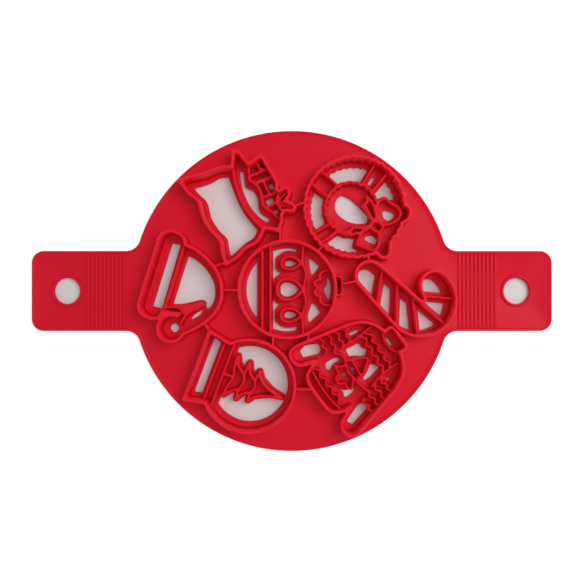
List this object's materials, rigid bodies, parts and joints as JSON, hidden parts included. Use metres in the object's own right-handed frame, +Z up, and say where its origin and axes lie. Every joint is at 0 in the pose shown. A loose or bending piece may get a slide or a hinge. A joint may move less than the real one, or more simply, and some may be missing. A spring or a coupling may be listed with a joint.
{
  "type": "cookie press",
  "caption": "Flexible round silicone press with cutter walls and imprint ridges of festive shapes, and a flat handle with a hang hole at each side.",
  "frame": {"origin": "middle of the round sheet, on the plane of its flat underside", "axes": "+X along the two handles towards the right one, +Y across them, +Z up from the sheet to the cutting edges"},
  "size_m": [0.39, 0.24, 0.0165],
  "materials": {
    "sheet_silicone": "soft satin red silicone",
    "cutter_silicone": "soft satin red silicone, slightly brighter along the thin edges"
  },
  "bodies": {
    "root": {"press_disc": "sheet_silicone", "left_handle": "sheet_silicone", "right_handle": "sheet_silicone", "left_hang_collar": "sheet_silicone", "right_hang_collar": "sheet_silicone", "left_grip_ribs": "sheet_silicone", "right_grip_ribs": "sheet_silicone", "sack_cutter": "cutter_silicone", "wreath_cutter": "cutter_silicone", "hat_cutter": "cutter_silicone", "bauble_cutter": "cutter_silicone", "cane_cutter": "cutter_silicone", "globe_cutter": "cutter_silicone", "jumper_cutter": "cutter_silicone", "sack_imprint": "cutter_silicone", "wreath_imprint": "cutter_silicone", "hat_imprint": "cutter_silicone", "bauble_imprint": "cutter_silicone", "cane_imprint": "cutter_silicone", "globe_imprint": "cutter_silicone", "jumper_imprint": "cutter_silicone", "tie_ribs": "cutter_silicone"}
  },
  "joints": []
}
